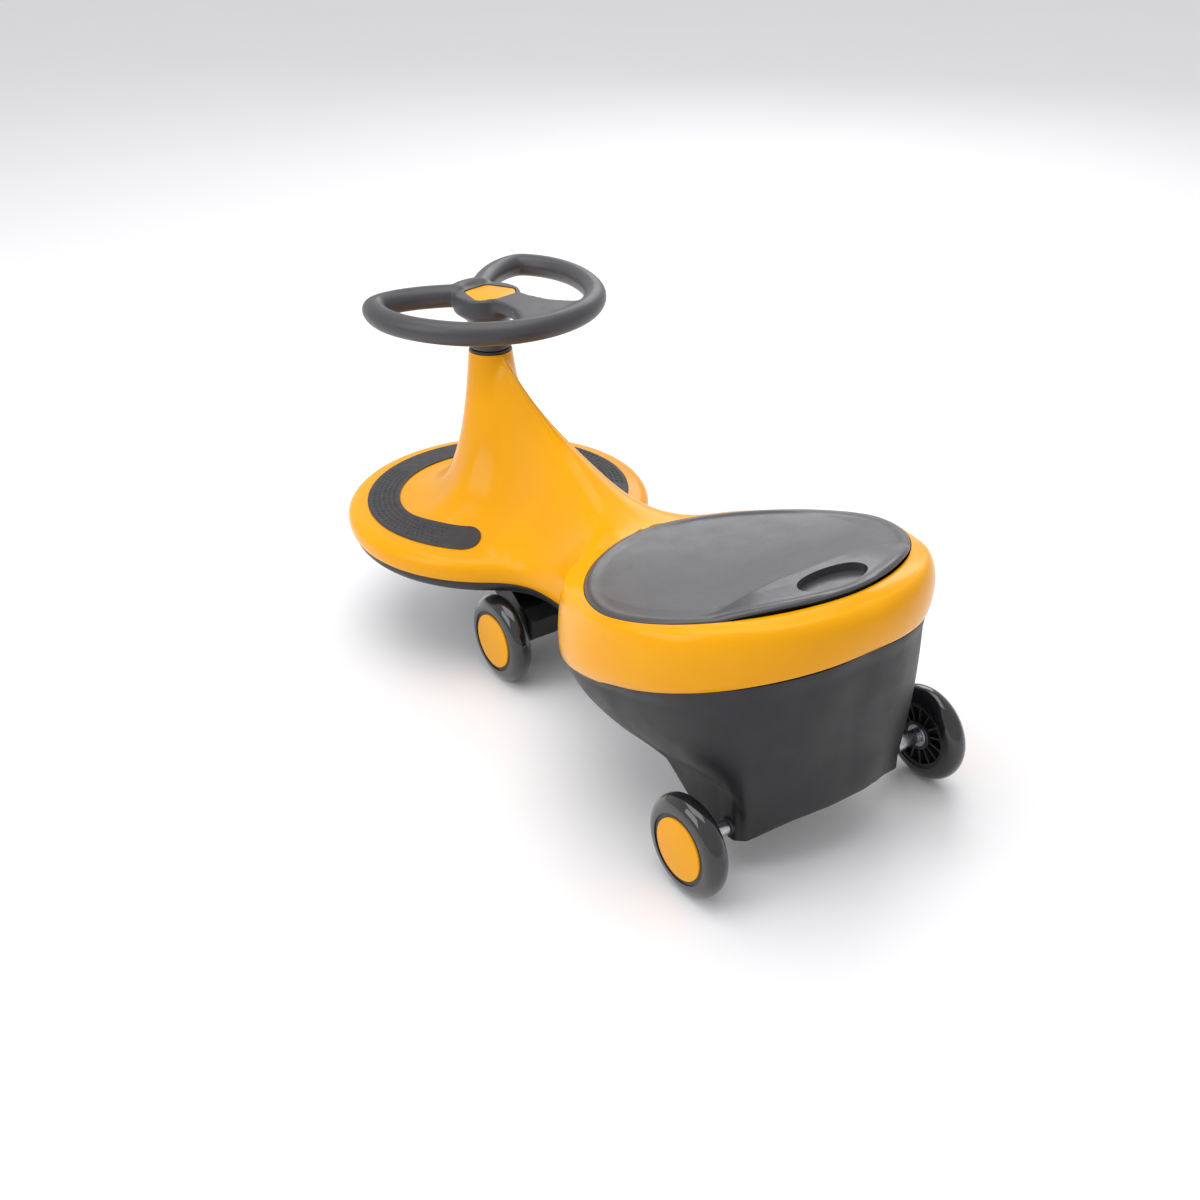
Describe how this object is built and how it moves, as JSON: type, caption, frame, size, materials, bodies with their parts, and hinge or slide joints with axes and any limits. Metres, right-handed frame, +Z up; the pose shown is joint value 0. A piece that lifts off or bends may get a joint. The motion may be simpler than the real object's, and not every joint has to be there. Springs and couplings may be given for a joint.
{
  "type": "child's ride-on swing car",
  "caption": "Yellow and charcoal ride-on swing car with a butterfly steering wheel, a moulded seat, a round foot platform and four dark castor-style wheels",
  "frame": {"origin": "on the ground, midway along and across the car's bounding box", "axes": "+Z up; -Y towards the front (foot platform and steering wheel); +X towards the child's left when seated and facing forwards"},
  "size_m": [0.33, 0.75, 0.371],
  "materials": {
    "yellow_shell": "gloss",
    "charcoal_shell": "satin",
    "seat_charcoal": "satin",
    "grip_charcoal": "matte",
    "wheel_charcoal": "satin",
    "black_plastic": "satin",
    "tyre_smoke": "gloss",
    "steel": "brushed"
  },
  "bodies": {
    "chassis": {"upper_shell": "yellow_shell", "lower_shell": "charcoal_shell", "seat": "seat_charcoal", "seat_tray": "black_plastic", "foot_grip": "grip_charcoal", "column_sleeve": "steel", "upper_bush": "black_plastic", "lower_bush": "black_plastic", "shell_screws": "steel", "rear_axle": "steel", "rear_axle_bushes": "black_plastic", "rear_axle_nuts": "steel", "rear_spacers": "steel"},
    "steering": {"steering_wheel": "wheel_charcoal", "hub_cap": "yellow_shell", "hub_nut": "steel", "hub_washer": "steel", "steering_shaft": "steel", "bogie": "black_plastic", "bogie_nut": "steel", "thrust_washer": "black_plastic", "front_axle": "steel", "front_axle_nuts": "steel", "front_spacers": "steel"},
    "front_left_wheel": {"front_left_core": "black_plastic", "front_left_tyre": "tyre_smoke", "front_left_cap": "yellow_shell", "front_left_bearings": "steel"},
    "front_right_wheel": {"front_right_core": "black_plastic", "front_right_tyre": "tyre_smoke", "front_right_cap": "yellow_shell", "front_right_bearings": "steel"},
    "rear_left_wheel": {"rear_left_core": "black_plastic", "rear_left_tyre": "tyre_smoke", "rear_left_cap": "yellow_shell", "rear_left_bearings": "steel"},
    "rear_right_wheel": {"rear_right_core": "black_plastic", "rear_right_tyre": "tyre_smoke", "rear_right_cap": "yellow_shell", "rear_right_bearings": "steel"}
  },
  "joints": [
    {"name": "steer", "type": "hinge", "parent": "chassis", "child": "steering", "pos_m": [0, -0.21, 0.2], "axis": [0, 0, 1], "continuous": true},
    {"name": "front_left_spin", "type": "hinge", "parent": "steering", "child": "front_left_wheel", "pos_m": [0.086, -0.073, 0.047], "axis": [1, 0, 0], "continuous": true},
    {"name": "front_right_spin", "type": "hinge", "parent": "steering", "child": "front_right_wheel", "pos_m": [-0.086, -0.073, 0.047], "axis": [1, 0, 0], "continuous": true},
    {"name": "rear_left_spin", "type": "hinge", "parent": "chassis", "child": "rear_left_wheel", "pos_m": [0.14, 0.311, 0.047], "axis": [1, 0, 0], "continuous": true},
    {"name": "rear_right_spin", "type": "hinge", "parent": "chassis", "child": "rear_right_wheel", "pos_m": [-0.14, 0.311, 0.047], "axis": [1, 0, 0], "continuous": true}
  ]
}
